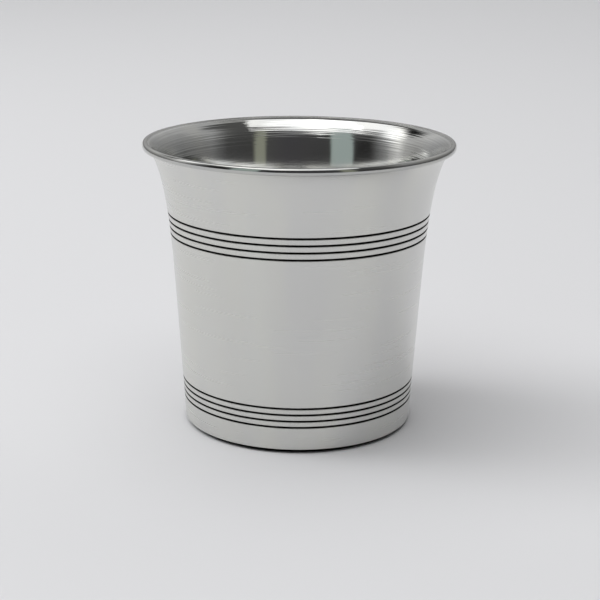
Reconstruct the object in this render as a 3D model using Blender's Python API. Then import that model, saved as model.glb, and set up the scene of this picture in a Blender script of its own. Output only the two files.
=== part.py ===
"""A handleless communion beaker in pewter, standing mouth up on z = 0, in metres.

A spun wall tapers up from a recessed foot and sweeps out to a flared lip. A half-oval wire
caps the lip, a floor disc closes the bowl, and a foot ring inside the wall carries the beaker.
Solder joins each of them to the next.
"""

import math

import bmesh
import bpy

# Driving dimensions: the outside
MOUTH_RADIUS = 0.04445  # outermost point of the rim wire, 3 1/2 in across the mouth
HEIGHT = 0.08225  # table to the top of the rim wire
WALL = 0.0014  # sheet thickness of the spun wall

# The half-oval rim wire, flush with the wall inside and proud of it outside
WIRE_NOSE = 0.0009  # from its flat back to its crown
WIRE_OUTER = 0.00135  # from the middle of the wall to its outer edge
WIRE_REACH = (0.001022, 0.000751)  # its outline beyond its centre, outwards and up
WIRE_STEPS = 4  # facets on each half of the oval

# The wall's middle surface: a straight taper that a flare is added to
BASE_RADIUS = 0.03218  # of the taper, at table level
TAPER = 0.0655  # radius gained per unit of height
FLARE_FROM = 0.0358  # height where the flare starts
FLARE_TO = 0.08205  # height where the flare would lie level
FLARE_POWER = 3  # roundness of the flare, 2 being an ellipse

# Two bands of turned lines: height of the lowest line, and the pitch between lines
LOWER_BAND = (0.00785, 0.00185)
UPPER_BAND = (0.05628, 0.002)
LINES_PER_BAND = 4
LINE_HALF_WIDTH = 0.00033
LINE_DEPTH = 0.0003

# The base
FOOT_STAND = 0.0011  # how far the foot ring stands below the wall's edge
FOOT_WIDTH = 0.0026
FOOT_HEIGHT = 0.0037
FLOOR_THICKNESS = 0.0014
EDGE_BREAK = 0.00025  # small chamfers on turned edges

# Solder
FILM = 0.00015  # clearance that the solder fills between two pieces
FILLET = 0.0009  # leg of the fillets at the floor and the foot
RIM_SEAM = 0.0002  # thickness of the butt seam between the wall and the rim wire
RIM_SEAM_FILM = 0.0001

SEGMENTS = 64  # facets round every turned piece, the same for all so that none overlap
FLARE_STEPS = 9
FLARE_END = 0.0006  # the flare's last point lies this far below the rim wire's centre
BELLY_STEPS = 3
SHARP_ANGLE = 30  # degrees between facets that still shade as one surface
SLOPE_STEP = 1e-6
MERGE = 1e-7

# Derived places
WIRE_CENTRE = (MOUTH_RADIUS - WIRE_REACH[0], HEIGHT - WIRE_REACH[1])
FLOOR_UNDERSIDE = FOOT_HEIGHT + FILM
FLOOR_TOP = FLOOR_UNDERSIDE + FLOOR_THICKNESS


def taper_radius(height):
    return BASE_RADIUS + TAPER * height


def flare_share(height):
    """Share of the flare's reach that is gained at a height, from 0 to 1, as a superellipse."""
    swept = (height - FLARE_FROM) / (FLARE_TO - FLARE_FROM)
    swept = min(max(swept, 0.0), 1.0)
    return 1.0 - (1.0 - swept**FLARE_POWER) ** (1.0 / FLARE_POWER)


# The middle surface runs into the centre of the rim wire.
FLARE_REACH = (WIRE_CENTRE[0] - taper_radius(WIRE_CENTRE[1])) / flare_share(WIRE_CENTRE[1])


def middle_radius(height):
    return taper_radius(height) + FLARE_REACH * flare_share(height)


def lean(height):
    """Angle of the middle surface from the vertical."""
    rise = middle_radius(height + SLOPE_STEP) - middle_radius(height - SLOPE_STEP)
    return math.atan(rise / (2 * SLOPE_STEP))


def on_wall(height, offset):
    """Point at a distance from the middle surface, positive outwards, as (radius, height)."""
    angle = lean(height)
    return (
        middle_radius(height) + offset * math.cos(angle),
        height - offset * math.sin(angle),
    )


def bore_radius(height):
    """Inner radius of the wall in its straight taper, where the base pieces sit."""
    return taper_radius(height) - WALL / 2 / math.cos(math.atan(TAPER))


def on_rim(along, across):
    """Point by the rim wire's centre: along the wall's run, and across its thickness, outwards."""
    angle = lean(WIRE_CENTRE[1])
    return (
        WIRE_CENTRE[0] + along * math.sin(angle) + across * math.cos(angle),
        WIRE_CENTRE[1] + along * math.cos(angle) - across * math.sin(angle),
    )


def line_heights():
    return [
        lowest + pitch * line
        for lowest, pitch in (LOWER_BAND, UPPER_BAND)
        for line in range(LINES_PER_BAND)
    ]


def flare_heights(start, end, steps):
    """Heights that crowd towards the lip, where the flare turns fastest."""
    return [start + (end - start) * math.sin(math.pi / 2 * i / steps) for i in range(steps + 1)]


def pewter(name, colour, roughness):
    material = bpy.data.materials.new(name)
    material.use_nodes = True
    shader = material.node_tree.nodes["Principled BSDF"]
    shader.inputs["Base Color"].default_value = (*colour, 1)
    shader.inputs["Metallic"].default_value = 1
    shader.inputs["Roughness"].default_value = roughness
    return material


def turned(name, section, material):
    """A solid of revolution about +Z. A section that starts on the axis stays open there."""
    shape = bmesh.new()
    points = [shape.verts.new((radius, 0, height)) for radius, height in section]
    ends = points[1:] if section[0][0] == 0 else points[1:] + points[:1]
    edges = [shape.edges.new(pair) for pair in zip(points, ends)]
    bmesh.ops.spin(
        shape,
        geom=points + edges,
        cent=(0, 0, 0),
        axis=(0, 0, 1),
        angle=2 * math.pi,
        steps=SEGMENTS,
        use_merge=True,
    )
    bmesh.ops.remove_doubles(shape, verts=shape.verts, dist=MERGE)
    bmesh.ops.recalc_face_normals(shape, faces=shape.faces)
    mesh = bpy.data.meshes.new(name)
    shape.to_mesh(mesh)
    shape.free()
    mesh.shade_smooth()
    mesh.set_sharp_from_angle(angle=math.radians(SHARP_ANGLE))
    mesh.materials.append(material)
    node = bpy.data.objects.new(name, mesh)
    bpy.context.collection.objects.link(node)
    node.parent = beaker
    return node


def make_cup_wall():
    """The spun shell: plain inside, with V-shaped lines cut round the outside."""
    half = WALL / 2
    flare_top = WIRE_CENTRE[1] - FLARE_END
    cut_edge = -(RIM_SEAM + 2 * RIM_SEAM_FILM)
    outside = [on_wall(FOOT_STAND + EDGE_BREAK, half)]
    lines = line_heights()
    for height in lines:
        outside += [
            on_wall(height - LINE_HALF_WIDTH, half),
            on_wall(height, half - LINE_DEPTH),
            on_wall(height + LINE_HALF_WIDTH, half),
        ]
        if height == lines[LINES_PER_BAND - 1]:
            belly = flare_heights(FLARE_FROM, UPPER_BAND[0], BELLY_STEPS)[:-1]
            outside += [on_wall(belly_height, half) for belly_height in belly]
    above_lines = flare_heights(lines[-1] + 2 * LINE_HALF_WIDTH, flare_top, FLARE_STEPS)
    outside += [on_wall(height, half) for height in above_lines]
    lip = [on_rim(cut_edge, half), on_rim(cut_edge, -half)]
    inside = [on_wall(height, -half) for height in flare_heights(FLARE_FROM, flare_top, FLARE_STEPS)]
    edge = [
        (bore_radius(FOOT_STAND), FOOT_STAND),
        (on_wall(FOOT_STAND, half)[0] - EDGE_BREAK, FOOT_STAND),
    ]
    section = outside + lip + inside[::-1] + edge
    turned("cup_wall", section, pewter("spun pewter", (0.50, 0.50, 0.49), 0.28))


def make_rim_bead():
    """Half-oval wire, its flat back square to the wall's run."""
    section = []
    for step in range(2 * WIRE_STEPS + 1):
        turn = math.pi / 2 * step / WIRE_STEPS
        across = WIRE_OUTER if step < WIRE_STEPS else WALL / 2
        section.append(on_rim(WIRE_NOSE * math.sin(turn), across * math.cos(turn)))
    turned("rim_bead", section, pewter("burnished pewter", (0.56, 0.56, 0.55), 0.2))


def make_rim_solder():
    """Butt seam between the wall's cut edge and the flat of the rim wire."""
    near = -RIM_SEAM_FILM
    far = near - RIM_SEAM
    half = WALL / 2
    section = [on_rim(near, half), on_rim(near, -half), on_rim(far, -half), on_rim(far, half)]
    turned("rim_solder", section, solder)


def make_floor_disc():
    """Disc that closes the bowl, its edge turned to the wall's taper."""
    section = [
        (0, FLOOR_TOP),
        (bore_radius(FLOOR_TOP) - FILM, FLOOR_TOP),
        (bore_radius(FLOOR_UNDERSIDE) - FILM, FLOOR_UNDERSIDE),
        (0, FLOOR_UNDERSIDE),
    ]
    turned("floor_disc", section, pewter("turned pewter", (0.48, 0.48, 0.47), 0.32))


def make_floor_solder():
    """Fillet run round inside the bowl, in the corner of the floor and the wall."""
    low = FLOOR_TOP + FILM
    corner = bore_radius(low) - FILM
    section = [
        (corner, low),
        (bore_radius(low + FILLET) - FILM, low + FILLET),
        (corner - FILLET / 3, low + FILLET / 3),
        (corner - FILLET, low),
    ]
    turned("floor_solder", section, solder)


def make_foot_ring():
    """Ring that lines the wall's lower end and stands below it, out of sight from the side."""
    outer = bore_radius(FOOT_STAND) - FILM
    inner = outer - FOOT_WIDTH
    section = [
        (outer - EDGE_BREAK, 0),
        (outer, EDGE_BREAK),
        (outer, FOOT_HEIGHT),
        (inner, FOOT_HEIGHT),
        (inner, EDGE_BREAK),
        (inner + EDGE_BREAK, 0),
    ]
    turned("foot_ring", section, pewter("foot pewter", (0.42, 0.42, 0.41), 0.4))


def make_foot_solder():
    """Fillet under the floor, in the corner that the foot ring makes with it."""
    corner = bore_radius(FOOT_STAND) - FILM - FOOT_WIDTH - FILM
    high = FLOOR_UNDERSIDE - FILM
    section = [
        (corner, high),
        (corner - FILLET, high),
        (corner - FILLET / 3, high - FILLET / 3),
        (corner, high - FILLET),
    ]
    turned("foot_solder", section, solder)


for leftover in list(bpy.data.objects):
    bpy.data.objects.remove(leftover)

beaker = bpy.data.objects.new("beaker", None)
bpy.context.collection.objects.link(beaker)
solder = pewter("tin solder", (0.60, 0.60, 0.58), 0.3)

make_cup_wall()
make_rim_bead()
make_rim_solder()
make_floor_disc()
make_floor_solder()
make_foot_ring()
make_foot_solder()
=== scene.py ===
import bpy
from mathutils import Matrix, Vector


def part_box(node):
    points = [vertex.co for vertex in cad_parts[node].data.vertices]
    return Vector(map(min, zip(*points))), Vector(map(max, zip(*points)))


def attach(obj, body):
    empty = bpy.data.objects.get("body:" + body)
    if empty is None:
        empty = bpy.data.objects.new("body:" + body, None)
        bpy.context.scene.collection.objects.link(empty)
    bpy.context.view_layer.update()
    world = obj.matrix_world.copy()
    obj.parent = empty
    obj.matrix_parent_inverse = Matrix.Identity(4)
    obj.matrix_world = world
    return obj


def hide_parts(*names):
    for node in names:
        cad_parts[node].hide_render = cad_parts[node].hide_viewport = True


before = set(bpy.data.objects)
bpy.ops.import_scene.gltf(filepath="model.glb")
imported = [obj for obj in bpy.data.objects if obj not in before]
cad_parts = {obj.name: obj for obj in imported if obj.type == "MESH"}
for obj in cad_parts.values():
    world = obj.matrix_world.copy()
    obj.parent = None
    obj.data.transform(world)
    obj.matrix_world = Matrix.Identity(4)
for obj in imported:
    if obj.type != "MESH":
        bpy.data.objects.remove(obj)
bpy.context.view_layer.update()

import math

import bmesh
import bpy
from mathutils import Matrix, Vector

# --- Cup wall ------------------------------------------------------------------------------
# The body of the beaker: one pewter sheet, 1.4 mm thick, spun over a wooden former on a lathe.
# It tapers up, sweeps out to the lip, and carries two bands of lines cut with a pointed tool.

wall_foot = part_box("cup_wall")[0].z
lip_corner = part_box("rim_bead")[1]
SHEET = 0.0014
TAPER = 0.0655  # radius gained per unit of height
TAPER_FOOT = 0.03218  # the middle of the sheet at table level
FLARE_FROM = 0.0358  # height where the sheet leaves its straight taper
FLARE_TO = 0.08205  # height where the flare would lie level
FLARE_POWER = 3  # roundness of the flare, 2 being an ellipse
FLARE_END = 0.0006  # how far below the rim wire's centre the flare's last ring lies
SLOPE_STEP = 1e-6
WIRE_REACH = (0.001022, 0.000751)  # the rim wire's outline beyond its centre, outwards and up
WIRE_CENTRE = (lip_corner.x - WIRE_REACH[0], lip_corner.z - WIRE_REACH[1])


def flare_share(height):
    """Share of the flare gained at a height, as a superellipse."""
    swept = min(max((height - FLARE_FROM) / (FLARE_TO - FLARE_FROM), 0.0), 1.0)
    return 1 - (1 - swept**FLARE_POWER) ** (1 / FLARE_POWER)


# The middle of the sheet runs into the centre of the rim wire.
FLARE_REACH = WIRE_CENTRE[0] - TAPER_FOOT - TAPER * WIRE_CENTRE[1]
FLARE_REACH /= flare_share(WIRE_CENTRE[1])


def sheet_middle(height):
    """Radius of the middle of the sheet."""
    return TAPER_FOOT + TAPER * height + FLARE_REACH * flare_share(height)


def lean(height):
    """Angle of the sheet from the vertical."""
    widening = sheet_middle(height + SLOPE_STEP) - sheet_middle(height - SLOPE_STEP)
    return math.atan(widening / (2 * SLOPE_STEP))


def on_sheet(height, offset):
    """Point at a distance outwards from the middle of the sheet, as (radius, height)."""
    angle = lean(height)
    return sheet_middle(height) + offset * math.cos(angle), height - offset * math.sin(angle)


def by_rim(along, across):
    """Point by the rim wire's centre: along the sheet's run, and outwards across it."""
    angle = lean(WIRE_CENTRE[1])
    return (
        WIRE_CENTRE[0] + along * math.sin(angle) + across * math.cos(angle),
        WIRE_CENTRE[1] + along * math.cos(angle) - across * math.sin(angle),
    )


TURNS = 256  # facets round each turned piece
SAME_POINT = 1e-7  # points this close are joined


def turned(name, section, closed=True):
    """Spin a section of (radius, height, darkening) points round the axis into a piece.

    Each point keeps its distance along the section as "run", and its darkening, for the materials.
    The darkening paints both tarnish and shade.
    """
    shape = bmesh.new()
    run = shape.verts.layers.float.new("run")
    tarnish_and_shade = shape.verts.layers.float.new("tarnish_and_shade")
    points = []
    for radius, height, dark in section:
        point = shape.verts.new((radius, 0, height))
        # The point's darkening: tarnish and painted shade both.
        point[tarnish_and_shade] = dark
        if points:
            point[run] = points[-1][run] + (point.co - points[-1].co).length
        points.append(point)
    ends = points[1:] + points[:1] if closed else points[1:]
    edges = [shape.edges.new(pair) for pair in zip(points, ends)]
    bmesh.ops.spin(
        shape,
        geom=points + edges,
        cent=(0, 0, 0),
        axis=(0, 0, 1),
        angle=2 * math.pi,
        steps=TURNS,
        use_merge=True,
    )
    bmesh.ops.remove_doubles(shape, verts=shape.verts, dist=SAME_POINT)
    bmesh.ops.recalc_face_normals(shape, faces=shape.faces)
    mesh = bpy.data.meshes.new(name)
    shape.to_mesh(mesh)
    shape.free()
    mesh.shade_smooth()
    piece = bpy.data.objects.new(name, mesh)
    bpy.context.scene.collection.objects.link(piece)
    return piece


def rings(start, end, count, crowd=1.0):
    """Heights of rings from start to end, crowded towards the end where crowd is above 1."""
    return [end - (end - start) * (1 - i / count) ** crowd for i in range(count + 1)]


LINE_BANDS = ((0.00785, 0.00185), (0.05628, 0.002))  # lowest line and pitch of each band
LINES_PER_BAND = 4
LINE_HALF_WIDTH = 0.0004
LINE_DEPTH = 0.0003
LINE_CLEAR = 3 * LINE_HALF_WIDTH  # from a band's last line to the first plain ring beyond it
# Rings across a cut line, in half widths from its middle, with one on the plain metal each side.
ACROSS_LINE = (-1.25, *(step / 5 for step in range(-5, 6)), 1.25)
line_heights = [low + pitch * i for low, pitch in LINE_BANDS for i in range(LINES_PER_BAND)]


def outside_point(height):
    """Point on the outer face, sunk where it lies in a cut line and painted near black there, partly
    as tarnish and partly as painted shade.
    """
    nearest = min(line_heights, key=lambda line: abs(line - height))
    across = min(abs(nearest - height) / LINE_HALF_WIDTH, 1)
    sunk = math.cos(across * math.pi / 2) ** 2
    # The sunk share is also the darkening: tarnish and painted shade in the cut lines.
    return (*on_sheet(height, SHEET / 2 - LINE_DEPTH * sunk), sunk)


EDGE_ROUND = 0.0002
ROUND_MIDDLE = 0.3  # how far in from the corner the middle of a rounded edge lies, per radius
SEAM = 0.0002  # the solder between the sheet and the rim wire
FOOT_RINGS = 3
BELLY_RINGS = 24
FLARE_RINGS = 40
FLARE_CROWD = 1.5
BORE_RINGS = 70
BORE_CROWD = 1.2
FOOT_EDGE_PAINTED_SHADE = 0.2  # painted shade where the wall's foot begins to turn under
UNDER_FOOT_PAINTED_SHADE = 0.6  # painted shade under the wall's foot, black

flare_top = WIRE_CENTRE[1] - FLARE_END
first_ring = wall_foot + 2 * EDGE_ROUND
lower_band_top = line_heights[LINES_PER_BAND - 1]
upper_band_foot = line_heights[LINES_PER_BAND]
outside_heights = [line + LINE_HALF_WIDTH * across for line in line_heights for across in ACROSS_LINE]
outside_heights += rings(first_ring, line_heights[0] - LINE_CLEAR, FOOT_RINGS)
outside_heights += rings(lower_band_top + LINE_CLEAR, upper_band_foot - LINE_CLEAR, BELLY_RINGS)
outside_heights += rings(line_heights[-1] + LINE_CLEAR, flare_top, FLARE_RINGS, FLARE_CROWD)
outside = [outside_point(height) for height in sorted(outside_heights)]
bore_heights = rings(first_ring, flare_top, BORE_RINGS, BORE_CROWD)
inside = [(*on_sheet(height, -SHEET / 2), 0) for height in bore_heights]
lip = [(*by_rim(-SEAM, SHEET / 2), 0), (*by_rim(-SEAM, -SHEET / 2), 0)]
foot_outer = on_sheet(wall_foot, SHEET / 2)[0]
foot_inner = on_sheet(wall_foot, -SHEET / 2)[0]
# The wall's foot is painted dark as shade where it turns under and beneath it.
foot_edge = [
    (foot_inner, wall_foot + EDGE_ROUND, FOOT_EDGE_PAINTED_SHADE),
    (foot_inner + EDGE_ROUND, wall_foot, UNDER_FOOT_PAINTED_SHADE),
    (foot_outer - EDGE_ROUND, wall_foot, UNDER_FOOT_PAINTED_SHADE),
    (foot_outer - EDGE_ROUND * ROUND_MIDDLE, wall_foot + EDGE_ROUND * ROUND_MIDDLE, FOOT_EDGE_PAINTED_SHADE),
    (foot_outer, wall_foot + EDGE_ROUND, 0),
]
cup_wall = turned("cup_wall_spun", outside + lip + inside[::-1] + foot_edge)


def paint(hex_code):
    """Linear colour from an sRGB hex value."""
    channels = [int(hex_code[i : i + 2], 16) / 255 for i in (1, 3, 5)]
    linear = [c / 12.92 if c <= 0.04045 else ((c + 0.055) / 1.055) ** 2.4 for c in channels]
    return (*linear, 1)


def add_node(tree, kind, settings=None, inputs=None):
    """Add one node, set its properties and its sockets, and link those given as sockets."""
    node = tree.nodes.new(kind)
    for name, value in (settings or {}).items():
        setattr(node, name, value)
    for name, value in (inputs or {}).items():
        if isinstance(value, bpy.types.NodeSocket):
            tree.links.new(value, node.inputs[name])
        else:
            node.inputs[name].default_value = value
    return node


MARKS_ROUND = 25  # per metre: a turning mark runs about 40 mm round before it changes
MARK_SPREAD = (0.3, 0.7)  # the range that nearly all of the marks' noise falls in
MARK_DEPTH = 0.00003
SMEARS = (90, 90, 12)  # per metre: a handling smear is about 11 mm wide and 83 mm tall
SMEAR_SPREAD = (0.35, 0.65)
TARNISH_AND_SHADE_COLOUR = "#141310"
TARNISH_AND_SHADE_SPREAD = (0.05, 0.3)  # tarnish and painted shade: where the metal starts to darken, and where it is black
TARNISH_AND_SHADE_ROUGHNESS = 0.5  # how much rougher full tarnish and painted shade are
QUARTER_TURN = 0.25  # turns the broad axis of the gloss across the marks


def pewter(name, tint, smear_tint, roughness, uneven, grain, grain_mm, anisotropy):
    """Lathe-turned pewter: metallic, with marks that run round the axis.

    The marks are a noise that is stretched round the piece and tight along its section, so they
    follow the turning. They carry the relief, by grain, and vary the polish, by uneven. Broad
    smears left by hands shift the tint a little. Each point's darkening blackens the metal,
    partly as tarnish where polish can't reach and partly as painted shade in hollows and under the
    foot.
    """
    material = bpy.data.materials.new(name)
    material.use_nodes = True
    tree = material.node_tree
    shader = tree.nodes["Principled BSDF"]
    place = add_node(tree, "ShaderNodeTexCoord")
    run = add_node(tree, "ShaderNodeAttribute", {"attribute_name": "run"})
    dark = add_node(tree, "ShaderNodeAttribute", {"attribute_name": "tarnish_and_shade"})
    flat = add_node(
        tree,
        "ShaderNodeVectorMath",
        {"operation": "MULTIPLY"},
        {0: place.outputs["Object"], 1: (MARKS_ROUND, MARKS_ROUND, 0)},
    )
    marks_run = add_node(
        tree,
        "ShaderNodeMath",
        {"operation": "MULTIPLY"},
        {0: run.outputs["Fac"], 1: 1000 / grain_mm},
    )
    upright = add_node(tree, "ShaderNodeCombineXYZ", {}, {"Z": marks_run.outputs[0]})
    marks_place = add_node(
        tree,
        "ShaderNodeVectorMath",
        {"operation": "ADD"},
        {0: flat.outputs[0], 1: upright.outputs[0]},
    )
    marks = add_node(
        tree,
        "ShaderNodeTexNoise",
        {},
        {"Vector": marks_place.outputs[0], "Scale": 1, "Detail": 1, "Roughness": 0.4},
    )
    smears_place = add_node(
        tree,
        "ShaderNodeVectorMath",
        {"operation": "MULTIPLY"},
        {0: place.outputs["Object"], 1: SMEARS},
    )
    smears = add_node(
        tree,
        "ShaderNodeTexNoise",
        {},
        {"Vector": smears_place.outputs[0], "Scale": 1, "Detail": 2, "Roughness": 0.5},
    )
    smeared = add_node(
        tree,
        "ShaderNodeMapRange",
        {},
        {"Value": smears.outputs["Fac"], "From Min": SMEAR_SPREAD[0], "From Max": SMEAR_SPREAD[1]},
    )
    tinted = add_node(
        tree,
        "ShaderNodeMix",
        {"data_type": "RGBA"},
        {0: smeared.outputs[0], 6: paint(tint), 7: paint(smear_tint)},
    )
    # Tarnish and painted shade: the point's darkening mixes the colour towards near black.
    tarnish_and_shade_mix = add_node(
        tree,
        "ShaderNodeMapRange",
        {},
        {"Value": dark.outputs["Fac"], "From Min": TARNISH_AND_SHADE_SPREAD[0], "From Max": TARNISH_AND_SHADE_SPREAD[1]},
    )
    coloured = add_node(
        tree,
        "ShaderNodeMix",
        {"data_type": "RGBA"},
        {0: tarnish_and_shade_mix.outputs[0], 6: tinted.outputs[2], 7: paint(TARNISH_AND_SHADE_COLOUR)},
    )
    polish = add_node(
        tree,
        "ShaderNodeMapRange",
        {},
        {
            "Value": marks.outputs["Fac"],
            "From Min": MARK_SPREAD[0],
            "From Max": MARK_SPREAD[1],
            "To Min": roughness * (1 - uneven),
            "To Max": roughness * (1 + uneven),
        },
    )
    dulled = add_node(
        tree,
        "ShaderNodeMath",
        {"operation": "MULTIPLY_ADD"},
        {0: tarnish_and_shade_mix.outputs[0], 1: TARNISH_AND_SHADE_ROUGHNESS, 2: polish.outputs[0]},
    )
    relief = add_node(
        tree,
        "ShaderNodeBump",
        {},
        {"Height": marks.outputs["Fac"], "Strength": grain, "Distance": MARK_DEPTH},
    )
    round_axis = add_node(tree, "ShaderNodeTangent", {"direction_type": "RADIAL", "axis": "Z"})
    shader.inputs["Metallic"].default_value = 1
    shader.inputs["Anisotropic"].default_value = anisotropy
    shader.inputs["Anisotropic Rotation"].default_value = QUARTER_TURN
    tree.links.new(round_axis.outputs[0], shader.inputs["Tangent"])
    tree.links.new(coloured.outputs[2], shader.inputs["Base Color"])
    tree.links.new(dulled.outputs[0], shader.inputs["Roughness"])
    tree.links.new(relief.outputs[0], shader.inputs["Normal"])
    return material


# Pewter is tin hardened with a little antimony and copper: a soft grey metal, nearly white.
# Outside it is spun, then rubbed down to satin, so the gloss spreads into a broad upright band
# and the marks are all but gone.
satin_pewter = pewter(
    "satin spun pewter",
    "#DBDBD6",
    "#D7D7D5",
    roughness=0.27,
    uneven=0.015,
    grain=0.008,
    grain_mm=0.5,
    anisotropy=0.75,
)

# The bore is left bright from the finishing tool, so it mirrors what stands round it, and the
# marks streak the edges of each reflection. They are drawn about 0.9 mm apart, coarser than the
# tool leaves them, because finer ones don't show. Further down they are polished out.
BORE_MARK_DEPTH = 0.00007
MARKS_WORN = 0.0715  # height up to which the marks are polished out
MARKS_FRESH = 0.0765  # height from which they are as the tool left them
WORN_STRENGTH = 0.05
bore_pewter = pewter(
    "turned pewter of the bore",
    "#D2D2CE",
    "#CCCDCC",
    roughness=0.09,
    uneven=0.15,
    grain=1.0,
    grain_mm=0.45,
    anisotropy=0.75,
)
bore_nodes = bore_pewter.node_tree
bore_place = add_node(bore_nodes, "ShaderNodeTexCoord")
bore_height = add_node(
    bore_nodes, "ShaderNodeSeparateXYZ", {}, {"Vector": bore_place.outputs["Object"]}
)
marks_left = add_node(
    bore_nodes,
    "ShaderNodeMapRange",
    {},
    {
        "Value": bore_height.outputs["Z"],
        "From Min": MARKS_WORN,
        "From Max": MARKS_FRESH,
        "To Min": WORN_STRENGTH,
        "To Max": 1.0,
    },
)
bore_relief = bore_nodes.nodes["Bump"]
bore_relief.inputs["Distance"].default_value = BORE_MARK_DEPTH
bore_nodes.links.new(marks_left.outputs[0], bore_relief.inputs["Strength"])

cup_wall.data.materials.append(satin_pewter)
cup_wall.data.materials.append(bore_pewter)
for face in cup_wall.data.polygons:
    middle = face.center
    inwards = face.normal.x * middle.x + face.normal.y * middle.y < 0
    face.material_index = 1 if inwards else 0
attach(cup_wall, "root")
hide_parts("cup_wall")

# --- Rim wire ------------------------------------------------------------------------------
# A half-oval pewter wire, drawn through a plate and bent into a hoop, caps the cut edge of the
# sheet and stiffens the lip. It is flush with the sheet inside and stands proud of it outside.

WIRE_NOSE = 0.0009  # from its flat back to its crown
WIRE_OUTER = 0.00135  # from the middle of the sheet to its outer edge
WIRE_POINTS = 24
wire_section = []
for i in range(WIRE_POINTS + 1):
    turn = math.pi * i / WIRE_POINTS
    reach = WIRE_OUTER if math.cos(turn) > 0 else SHEET / 2
    wire_section.append((*by_rim(WIRE_NOSE * math.sin(turn), reach * math.cos(turn)), 0))
rim_bead = turned("rim_bead_wire", wire_section)

# The same alloy, drawn and then rubbed with a steel burnisher. That closes its surface, so the
# lip shows a thin, clean line of light with hardly any marks.
rim_bead.data.materials.append(
    pewter(
        "burnished pewter wire",
        "#C4C4C0",
        "#BEBFBE",
        roughness=0.1,
        uneven=0.1,
        grain=0.03,
        grain_mm=0.3,
        anisotropy=0.3,
    )
)
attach(rim_bead, "root")
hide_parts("rim_bead")

# --- Rim seam ------------------------------------------------------------------------------
# Tin solder, run into the butt joint between the sheet and the rim wire and scraped back.
# Its outer edge lies a little below the metal and is painted dark, partly as tarnished solder and
# partly as painted shade under the wire's step, so it shows as a thin dark line.

SEAM_SINK = 0.0001
SEAM_GAP = 0.00001  # between the solder and the metal each side
# Darkening of the seam's outer edge: tarnish and painted shade.
SEAM_TARNISH_AND_SHADE = 0.3
seam_top = -SEAM_GAP
seam_foot = -SEAM + SEAM_GAP
seam_section = [
    (*by_rim(seam_top, SHEET / 2 - SEAM_SINK), SEAM_TARNISH_AND_SHADE),
    (*by_rim(seam_top, -SHEET / 2), 0),
    (*by_rim(seam_foot, -SHEET / 2), 0),
    (*by_rim(seam_foot, SHEET / 2 - SEAM_SINK), SEAM_TARNISH_AND_SHADE),
]
rim_solder = turned("rim_solder_seam", seam_section)

# Tin solder sets smooth from the melt, and only the scraper marks it: a shade whiter and less
# glossy than the burnished wire.
tin_solder = pewter(
    "tin solder",
    "#D8D8D4",
    "#CFCFCC",
    roughness=0.22,
    uneven=0.1,
    grain=0.05,
    grain_mm=0.4,
    anisotropy=0.2,
)
rim_solder.data.materials.append(tin_solder)
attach(rim_solder, "root")
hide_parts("rim_solder")

# --- Floor disc ----------------------------------------------------------------------------
# A pewter disc that closes the bowl, cut from sheet and faced off on the lathe. Its edge is
# turned to the wall's taper, so that it wedges in from above before it is soldered.

floor_low, floor_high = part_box("floor_disc")
JOINT_GAP = 0.00002  # between pieces that solder joins
CORNER_ANGLE = math.radians(40)  # facets that meet at more than this keep a crisp edge
FLOOR_RINGS = 32


def bore(height):
    """Inner radius of the wall in its straight taper."""
    return TAPER_FOOT + TAPER * height - SHEET / 2 / math.cos(math.atan(TAPER))


floor_edge = bore(floor_high.z) - JOINT_GAP
floor_under_edge = bore(floor_low.z) - JOINT_GAP
shares = [i / FLOOR_RINGS for i in range(FLOOR_RINGS + 1)]
floor_section = [(floor_edge * share, floor_high.z, 0) for share in shares]
floor_section += [(floor_under_edge * (1 - share), floor_low.z, 0) for share in shares]
floor_disc = turned("floor_disc_turned", floor_section, closed=False)
floor_disc.data.set_sharp_from_angle(angle=CORNER_ANGLE)

# Pewter faced with a pointed tool and left so: fine rings, across which the light spreads into
# a fan from the middle.
floor_disc.data.materials.append(
    pewter(
        "turned pewter of the floor",
        "#D0D0CC",
        "#C8C9C9",
        roughness=0.26,
        uneven=0.15,
        grain=0.7,
        grain_mm=0.7,
        anisotropy=0.8,
    )
)
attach(floor_disc, "root")
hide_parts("floor_disc")

# --- Floor fillet --------------------------------------------------------------------------
# Tin solder, drawn round inside the bowl with an iron, in the corner of the floor and the wall.
# It sets as a small hollow fillet, smooth enough to wipe clean.

FILLET = 0.001
FILLET_POINTS = 8
FLOOR_LIFT = 0.00001  # the fillet's foot lies this far above the floor


def fillet(corner, across, up):
    """Hollow fillet section in a corner, its legs along across and up."""
    section = [(*corner, 0)]
    for i in range(FILLET_POINTS + 1):
        turn = math.pi / 2 * i / FILLET_POINTS
        radius = corner[0] + across * (1 - math.sin(turn))
        height = corner[1] + up * (1 - math.cos(turn))
        section.append((radius, height, 0))
    return section


floor_corner = (bore(floor_high.z + FILLET / 2), floor_high.z + FLOOR_LIFT)
floor_solder = turned("floor_solder_fillet", fillet(floor_corner, -FILLET, FILLET))
floor_solder.data.set_sharp_from_angle(angle=CORNER_ANGLE)
floor_solder.data.materials.append(tin_solder)
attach(floor_solder, "root")
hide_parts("floor_solder")

# --- Foot ring -----------------------------------------------------------------------------
# A turned pewter ring that lines the wall's lower end and is soldered there. It stands just
# It stands just below the wall, so that only the ring is scuffed, and a dark recess shows round the
# foot, darkened further by painted shade on the ring.

foot_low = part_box("foot_ring")[0]
FOOT_WIDTH = 0.0026
FOOT_ROUND = 0.0003
FOOT_CORNER_ANGLE = math.radians(50)  # its rounded edges turn 44 degrees at once, and stay smooth
RECESS_PAINTED_SHADE = 0.5  # painted shade in the recess under the wall, black
INNER_PAINTED_SHADE = 0.1  # lighter painted shade on the inner face, under the beaker
TREAD_PAINTED_SHADE = 0.3  # painted shade where the ring stands on the table, black
foot_out = bore(wall_foot) - JOINT_GAP
foot_in = foot_out - FOOT_WIDTH
foot_top = floor_low.z - JOINT_GAP
foot_bend = FOOT_ROUND * ROUND_MIDDLE
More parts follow.
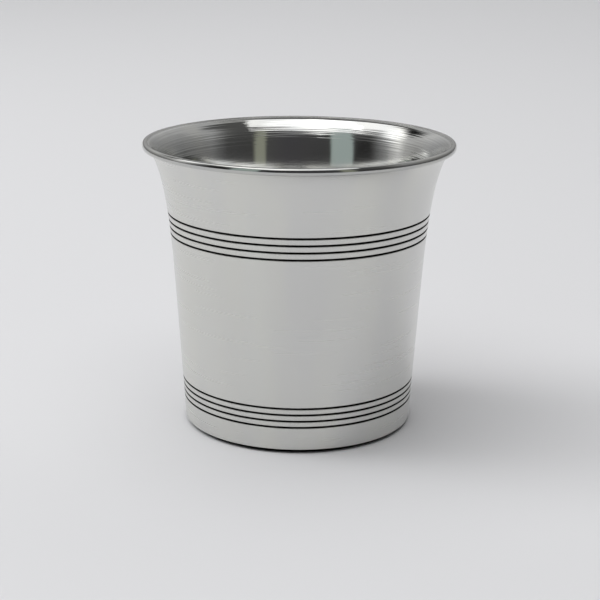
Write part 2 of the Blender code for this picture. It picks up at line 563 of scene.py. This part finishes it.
# The ring is painted dark all round as shade: black in the recess and where it stands, lighter
# inside.
foot_section = [
    (foot_out - FOOT_ROUND, foot_low.z, TREAD_PAINTED_SHADE),
    (foot_out - foot_bend, foot_low.z + foot_bend, (TREAD_PAINTED_SHADE + RECESS_PAINTED_SHADE) / 2),
    (foot_out, foot_low.z + FOOT_ROUND, RECESS_PAINTED_SHADE),
    (foot_out, foot_top, RECESS_PAINTED_SHADE),
    (foot_in, foot_top, INNER_PAINTED_SHADE),
    (foot_in, foot_low.z + FOOT_ROUND, INNER_PAINTED_SHADE),
    (foot_in + foot_bend, foot_low.z + foot_bend, (TREAD_PAINTED_SHADE + INNER_PAINTED_SHADE) / 2),
    (foot_in + FOOT_ROUND, foot_low.z, TREAD_PAINTED_SHADE),
]
foot_ring = turned("foot_ring_turned", foot_section)
foot_ring.data.set_sharp_from_angle(angle=FOOT_CORNER_ANGLE)

# Pewter straight from the tool and never polished: dull and darker, with the grey bloom that
# handling and damp leave on it.
foot_ring.data.materials.append(
    pewter(
        "dull foot pewter",
        "#B8B8B4",
        "#A8A8A6",
        roughness=0.38,
        uneven=0.1,
        grain=0.3,
        grain_mm=0.5,
        anisotropy=0.4,
    )
)
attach(foot_ring, "root")
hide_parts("foot_ring")

# --- Foot fillet ---------------------------------------------------------------------------
# Tin solder, run from below into the corner of the floor and the foot ring.
# It is hidden in use, but it holds the floor up and keeps water out of the joint.

foot_corner = (foot_in, foot_top)
foot_solder = turned("foot_solder_fillet", fillet(foot_corner, -FILLET, -FILLET))
foot_solder.data.set_sharp_from_angle(angle=CORNER_ANGLE)
foot_solder.data.materials.append(tin_solder)
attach(foot_solder, "root")
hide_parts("foot_solder")

# --- Floor of the studio -------------------------------------------------------------------
# A plain pale sheet of studio paper under the beaker, wide enough to fill every view.

PAPER_REACH = 4  # from the middle to each side
paper_shape = bmesh.new()
bmesh.ops.create_grid(paper_shape, x_segments=1, y_segments=1, size=PAPER_REACH)
paper_mesh = bpy.data.meshes.new("studio_floor")
paper_shape.to_mesh(paper_mesh)
paper_shape.free()
studio_floor = bpy.data.objects.new("studio_floor", paper_mesh)
bpy.context.scene.collection.objects.link(studio_floor)

# Uncoated paper is pressed pulp with no glaze: matt, with next to no shine of its own.
paper = bpy.data.materials.new("pale paper")
paper.use_nodes = True
paper_shader = paper.node_tree.nodes["Principled BSDF"]
paper_shader.inputs["Base Color"].default_value = paint("#D8D8DA")
paper_shader.inputs["Roughness"].default_value = 0.9
paper_shader.inputs["Specular IOR Level"].default_value = 0.1
studio_floor.data.materials.append(paper)

# --- Studio light --------------------------------------------------------------------------
# A wide softbox hangs overhead, in two parts, of which the metal mirrors only the front one. A
# soft light behind and a lamp at the left, which throws the shadow to the right, aren't mirrored
# either. The metal mirrors a room that is dark on the camera's side and pale elsewhere.


def soft_light(name, place, aim, size, radiance, turn=0, mirrored=True):
    """An oblong soft light of a given radiance, which the camera itself doesn't see."""
    lamp = bpy.data.lights.new(name, "AREA")
    lamp.shape = "RECTANGLE"
    lamp.size, lamp.size_y = size
    lamp.energy = radiance * math.pi * size[0] * size[1]
    holder = bpy.data.objects.new(name, lamp)
    facing = (Vector(aim) - Vector(place)).to_track_quat("-Z", "Y").to_matrix().to_4x4()
    turned_round = Matrix.Rotation(math.radians(turn), 4, "Z")
    holder.matrix_world = Matrix.Translation(place) @ turned_round @ facing
    holder.visible_camera = False
    holder.visible_glossy = mirrored
    bpy.context.scene.collection.objects.link(holder)


SOFTBOX_HEIGHT = 1.5
SOFTBOX_LENGTH = 1.95
SOFTBOX_TURN = 30  # degrees
SOFTBOX_RADIANCE = 1.25
for name, across, back, depth, mirrored in (
    ("overhead_softbox", -0.146, -0.66, 1.395, True),
    ("rear_softbox", -0.709, 0.314, 0.855, False),
):
    soft_light(
        name,
        (across, back, SOFTBOX_HEIGHT),
        (across, back, 0),
        (SOFTBOX_LENGTH, depth),
        SOFTBOX_RADIANCE,
        SOFTBOX_TURN,
        mirrored,
    )
soft_light("back_softbox", (0, 2.1, 1.5), (0, 2.1, 0), (3.4, 2.2), 0.52, mirrored=False)
soft_light("left_lamp", (-1.25, 0.13, 1.04), (0, 0, 0.05), (0.66, 0.62), 3.4, mirrored=False)


def grey(level):
    return (level, level, level)


DARK = grey(0.06)
DIM = (0.07, 0.068, 0.073)
DOOR = (0.42, 0.49, 0.47)
SHELF = (0.31, 0.32, 0.26)

# Linear colours round the room in four layers, from the floor up, as (bearing, colour) stops. A
# bearing is in degrees, 0 at the camera and positive to the right. On the camera's side the lower
# three layers are alike: a pale greenish door, the dark of the room, and the end of a shelf.
CAMERA_SIDE = (
    (-49, DOOR),
    (-30, DOOR),
    (-28, DARK),
    (12, DIM),
    (30, grey(0.08)),
    (32, SHELF),
    (40, SHELF),
)
SKIRTING = (
    (-180, grey(0.26)),
    (-140, grey(0.22)),
    (-120, grey(0.16)),
    (-104, grey(0.15)),
    (-98, grey(0.20)),
    (-91, grey(0.18)),
    (-84, grey(0.13)),
    (-77, grey(0.10)),
    (-71, grey(0.06)),
    (-66, grey(0.03)),
    (-51, grey(0.03)),
    *CAMERA_SIDE,
    (43, DARK),
    (84, DARK),
    (120, grey(0.10)),
    (150, grey(0.18)),
    (180, grey(0.26)),
)
WALLS = (
    (-180, grey(0.60)),
    (-137, grey(0.68)),
    (-119, grey(0.58)),
    (-106, grey(0.68)),
    (-98, grey(1.15)),
    (-91, grey(0.85)),
    (-84, grey(0.42)),
    (-77, grey(0.24)),
    (-71, grey(0.10)),
    (-66, grey(0.03)),
    (-56, grey(0.03)),
    (-51, DARK),
    *CAMERA_SIDE,
    (43, DARK),
    (68, grey(0.08)),
    (78, grey(0.20)),
    (84, grey(0.30)),
    (120, grey(0.35)),
    (150, grey(0.48)),
    (180, grey(0.60)),
)
COVING = (
    (-180, grey(0.55)),
    (-146, grey(0.50)),
    (-137, grey(0.12)),
    (-132, grey(0.01)),
    (-118, grey(0.01)),
    (-113, grey(0.50)),
    (-108, grey(1.90)),
    (-93, grey(1.90)),
    (-86, grey(1.20)),
    (-80, grey(0.50)),
    (-73, grey(0.22)),
    (-66, grey(0.13)),
    (-51, grey(0.10)),
    *CAMERA_SIDE,
    (43, grey(0.08)),
    (60, grey(0.10)),
    (70, grey(0.16)),
    (78, grey(0.30)),
    (88, grey(0.46)),
    (180, grey(0.55)),
)
CEILING = (
    (-180, grey(0.12)),
    (-168, grey(0.12)),
    (-163, grey(0.50)),
    (-157, grey(0.02)),
    (-131, grey(0.02)),
    (-125, grey(0.60)),
    (-120, grey(1.50)),
    (-62, grey(1.50)),
    (-50, grey(0.50)),
    (35, grey(0.50)),
    (45, grey(0.10)),
    (104, grey(0.10)),
    (114, grey(0.50)),
    (158, grey(0.55)),
    (168, grey(0.12)),
    (180, grey(0.12)),
)
# Each upper layer begins and is complete at these sines of the angle above the horizon.
UPPER_LAYERS = ((WALLS, 0.0, 0.4), (COVING, 0.44, 0.5), (CEILING, 0.6, 0.68))
BACKDROP = "#D6D6DA"  # what the camera itself sees beyond the paper

studio = bpy.data.worlds.new("studio")
studio.use_nodes = True
bpy.context.scene.world = studio
room_nodes = studio.node_tree
ray = add_node(room_nodes, "ShaderNodeTexCoord")
heading = add_node(room_nodes, "ShaderNodeSeparateXYZ", {}, {"Vector": ray.outputs["Generated"]})
to_camera = add_node(
    room_nodes, "ShaderNodeMath", {"operation": "MULTIPLY"}, {0: heading.outputs["Y"], 1: -1.0}
)
bearing = add_node(
    room_nodes,
    "ShaderNodeMath",
    {"operation": "ARCTAN2"},
    {0: heading.outputs["X"], 1: to_camera.outputs[0]},
)
round_share = add_node(
    room_nodes,
    "ShaderNodeMapRange",
    {},
    {"Value": bearing.outputs[0], "From Min": -math.pi, "From Max": math.pi},
)


def round_room(stops):
    """Colours round the room, from (bearing, colour) stops."""
    ramp = add_node(room_nodes, "ShaderNodeValToRGB", {}, {"Fac": round_share.outputs[0]})
    elements = ramp.color_ramp.elements
    while len(elements) < len(stops):
        elements.new(0.5)
    for element, (degrees, colour) in zip(elements, stops):
        element.position = degrees / 360 + 0.5
        element.color = (*colour, 1)
    return ramp.outputs["Color"]


room = round_room(SKIRTING)
for stops, begins, complete in UPPER_LAYERS:
    risen = add_node(
        room_nodes,
        "ShaderNodeMapRange",
        {},
        {"Value": heading.outputs["Z"], "From Min": begins, "From Max": complete},
    )
    layer = add_node(
        room_nodes,
        "ShaderNodeMix",
        {"data_type": "RGBA"},
        {0: risen.outputs[0], 6: room, 7: round_room(stops)},
    )
    room = layer.outputs[2]
mirrored_room = room_nodes.nodes["Background"]
room_nodes.links.new(room, mirrored_room.inputs["Color"])
backdrop = add_node(
    room_nodes, "ShaderNodeBackground", {}, {"Color": paint(BACKDROP), "Strength": 1.0}
)
seen = add_node(room_nodes, "ShaderNodeLightPath")
surroundings = add_node(
    room_nodes, "ShaderNodeMixShader", {}, {0: seen.outputs["Is Camera Ray"]}
)
room_nodes.links.new(mirrored_room.outputs[0], surroundings.inputs[1])
room_nodes.links.new(backdrop.outputs[0], surroundings.inputs[2])
room_nodes.links.new(surroundings.outputs[0], room_nodes.nodes["World Output"].inputs["Surface"])
bpy.context.scene.view_settings.view_transform = "Standard"

# --- Camera --------------------------------------------------------------------------------
# A short telephoto, about 44 cm off and above the mouth, looking down at the beaker.

FOCAL_LENGTH = 91.03  # mm
SENSOR_WIDTH = 36  # mm
NEAREST = 0.01
CAMERA_PLACE = (0.00053, -0.42605, 0.15524)
LOOK_DOWN = math.radians(15.757)
ROLL = math.radians(0.4548)
lens = bpy.data.cameras.new("camera")
lens.lens = FOCAL_LENGTH
lens.sensor_width = SENSOR_WIDTH
lens.clip_start = NEAREST
camera = bpy.data.objects.new("camera", lens)
camera.matrix_world = (
    Matrix.Translation(CAMERA_PLACE)
    @ Matrix.Rotation(math.pi / 2 - LOOK_DOWN, 4, "X")
    @ Matrix.Rotation(ROLL, 4, "Z")
)
bpy.context.scene.collection.objects.link(camera)
bpy.context.scene.camera = camera
